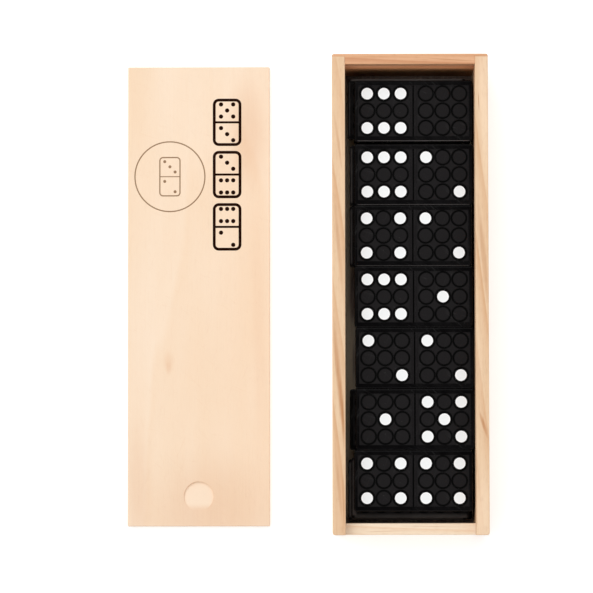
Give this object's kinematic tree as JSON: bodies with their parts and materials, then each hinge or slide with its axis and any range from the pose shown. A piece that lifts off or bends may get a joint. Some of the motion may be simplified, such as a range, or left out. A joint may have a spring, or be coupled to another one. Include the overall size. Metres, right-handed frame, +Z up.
{
  "type": "domino storage box",
  "caption": "Wooden tray with a grooved sliding lid, lying off beside it, that stores a full set of dominoes in stacked layers.",
  "frame": {"origin": "middle of the tray's flat underside", "axes": "+Y along the tray towards its closed end, +Z up, +X across the tray away from the lid that lies beside it"},
  "size_m": [0.1169, 0.154, 0.03],
  "materials": {
    "pine_side": "bare sanded pine, fine straight grain along each wall",
    "pine_end": "bare sanded pine, warmer, grain across the tray",
    "base_plywood": "bare thin plywood, smooth",
    "lid_wood": "bare pale wood, smooth sanded, faint grain along the lid",
    "print_ink": "flat dark brown screen print",
    "tile_plastic": "moulded black plastic, satin, with smoother borders",
    "pip_paint": "white paint in shallow dimples, slightly glossy"
  },
  "bodies": {
    "tray": {"base_panel": "base_plywood", "side_wall_left": "pine_side", "side_wall_right": "pine_side", "end_wall_closed": "pine_end", "end_wall_open": "pine_side"},
    "lid": {"lid": "lid_wood"},
    "tile_4_1": {"tile_4_1": "tile_plastic"},
    "tile_0_0": {"tile_0_0": "tile_plastic"},
    "tile_5_3": {"tile_5_3": "tile_plastic"},
    "tile_6_0": {"tile_6_0": "tile_plastic"},
    "tile_6_5": {"tile_6_5": "tile_plastic"},
    "tile_5_5": {"tile_5_5": "tile_plastic"},
    "tile_3_0": {"tile_3_0": "tile_plastic"},
    "tile_6_2": {"tile_6_2": "tile_plastic"},
    "tile_3_2": {"tile_3_2": "tile_plastic"},
    "tile_2_1": {"tile_2_1": "tile_plastic"},
    "tile_6_6": {"tile_6_6": "tile_plastic"},
    "tile_4_2": {"tile_4_2": "tile_plastic"},
    "tile_5_2": {"tile_5_2": "tile_plastic"},
    "tile_4_3": {"tile_4_3": "tile_plastic"},
    "tile_6_3": {"tile_6_3": "tile_plastic"},
    "tile_6_1": {"tile_6_1": "tile_plastic"},
    "tile_1_0": {"tile_1_0": "tile_plastic"},
    "tile_6_4": {"tile_6_4": "tile_plastic"},
    "tile_5_4": {"tile_5_4": "tile_plastic"},
    "tile_2_2": {"tile_2_2": "tile_plastic"},
    "tile_3_3": {"tile_3_3": "tile_plastic"},
    "tile_5_0": {"tile_5_0": "tile_plastic"},
    "tile_2_0": {"tile_2_0": "tile_plastic"},
    "tile_5_1": {"tile_5_1": "tile_plastic"},
    "tile_4_0": {"tile_4_0": "tile_plastic"},
    "tile_3_1": {"tile_3_1": "tile_plastic"},
    "tile_1_1": {"tile_1_1": "tile_plastic"},
    "tile_4_4": {"tile_4_4": "tile_plastic"}
  },
  "joints": [
    {"name": "lid_lift", "type": "slide", "parent": "tray", "child": "lid", "axis": [0, 0, 1], "range_m": [0, 0.06]},
    {"name": "tile_4_1_lift", "type": "slide", "parent": "tray", "child": "tile_4_1", "axis": [0, 0, 1], "range_m": [0, 0.03]},
    {"name": "tile_0_0_lift", "type": "slide", "parent": "tile_4_1", "child": "tile_0_0", "axis": [0, 0, 1], "range_m": [0, 0.03]},
    {"name": "tile_5_3_lift", "type": "slide", "parent": "tile_0_0", "child": "tile_5_3", "axis": [0, 0, 1], "range_m": [0, 0.03]},
    {"name": "tile_6_0_lift", "type": "slide", "parent": "tile_5_3", "child": "tile_6_0", "axis": [0, 0, 1], "range_m": [0, 0.03]},
    {"name": "tile_6_5_lift", "type": "slide", "parent": "tray", "child": "tile_6_5", "axis": [0, 0, 1], "range_m": [0, 0.03]},
    {"name": "tile_5_5_lift", "type": "slide", "parent": "tile_6_5", "child": "tile_5_5", "axis": [0, 0, 1], "range_m": [0, 0.03]},
    {"name": "tile_3_0_lift", "type": "slide", "parent": "tile_5_5", "child": "tile_3_0", "axis": [0, 0, 1], "range_m": [0, 0.03]},
    {"name": "tile_6_2_lift", "type": "slide", "parent": "tile_3_0", "child": "tile_6_2", "axis": [0, 0, 1], "range_m": [0, 0.03]},
    {"name": "tile_3_2_lift", "type": "slide", "parent": "tray", "child": "tile_3_2", "axis": [0, 0, 1], "range_m": [0, 0.03]},
    {"name": "tile_2_1_lift", "type": "slide", "parent": "tile_3_2", "child": "tile_2_1", "axis": [0, 0, 1], "range_m": [0, 0.03]},
    {"name": "tile_6_6_lift", "type": "slide", "parent": "tile_2_1", "child": "tile_6_6", "axis": [0, 0, 1], "range_m": [0, 0.03]},
    {"name": "tile_4_2_lift", "type": "slide", "parent": "tile_6_6", "child": "tile_4_2", "axis": [0, 0, 1], "range_m": [0, 0.03]},
    {"name": "tile_5_2_lift", "type": "slide", "parent": "tray", "child": "tile_5_2", "axis": [0, 0, 1], "range_m": [0, 0.03]},
    {"name": "tile_4_3_lift", "type": "slide", "parent": "tile_5_2", "child": "tile_4_3", "axis": [0, 0, 1], "range_m": [0, 0.03]},
    {"name": "tile_6_3_lift", "type": "slide", "parent": "tile_4_3", "child": "tile_6_3", "axis": [0, 0, 1], "range_m": [0, 0.03]},
    {"name": "tile_6_1_lift", "type": "slide", "parent": "tile_6_3", "child": "tile_6_1", "axis": [0, 0, 1], "range_m": [0, 0.03]},
    {"name": "tile_1_0_lift", "type": "slide", "parent": "tray", "child": "tile_1_0", "axis": [0, 0, 1], "range_m": [0, 0.03]},
    {"name": "tile_6_4_lift", "type": "slide", "parent": "tile_1_0", "child": "tile_6_4", "axis": [0, 0, 1], "range_m": [0, 0.03]},
    {"name": "tile_5_4_lift", "type": "slide", "parent": "tile_6_4", "child": "tile_5_4", "axis": [0, 0, 1], "range_m": [0, 0.03]},
    {"name": "tile_2_2_lift", "type": "slide", "parent": "tile_5_4", "child": "tile_2_2", "axis": [0, 0, 1], "range_m": [0, 0.03]},
    {"name": "tile_3_3_lift", "type": "slide", "parent": "tray", "child": "tile_3_3", "axis": [0, 0, 1], "range_m": [0, 0.03]},
    {"name": "tile_5_0_lift", "type": "slide", "parent": "tile_3_3", "child": "tile_5_0", "axis": [0, 0, 1], "range_m": [0, 0.03]},
    {"name": "tile_2_0_lift", "type": "slide", "parent": "tile_5_0", "child": "tile_2_0", "axis": [0, 0, 1], "range_m": [0, 0.03]},
    {"name": "tile_5_1_lift", "type": "slide", "parent": "tile_2_0", "child": "tile_5_1", "axis": [0, 0, 1], "range_m": [0, 0.03]},
    {"name": "tile_4_0_lift", "type": "slide", "parent": "tray", "child": "tile_4_0", "axis": [0, 0, 1], "range_m": [0, 0.03]},
    {"name": "tile_3_1_lift", "type": "slide", "parent": "tile_4_0", "child": "tile_3_1", "axis": [0, 0, 1], "range_m": [0, 0.03]},
    {"name": "tile_1_1_lift", "type": "slide", "parent": "tile_3_1", "child": "tile_1_1", "axis": [0, 0, 1], "range_m": [0, 0.03]},
    {"name": "tile_4_4_lift", "type": "slide", "parent": "tile_1_1", "child": "tile_4_4", "axis": [0, 0, 1], "range_m": [0, 0.03]}
  ]
}
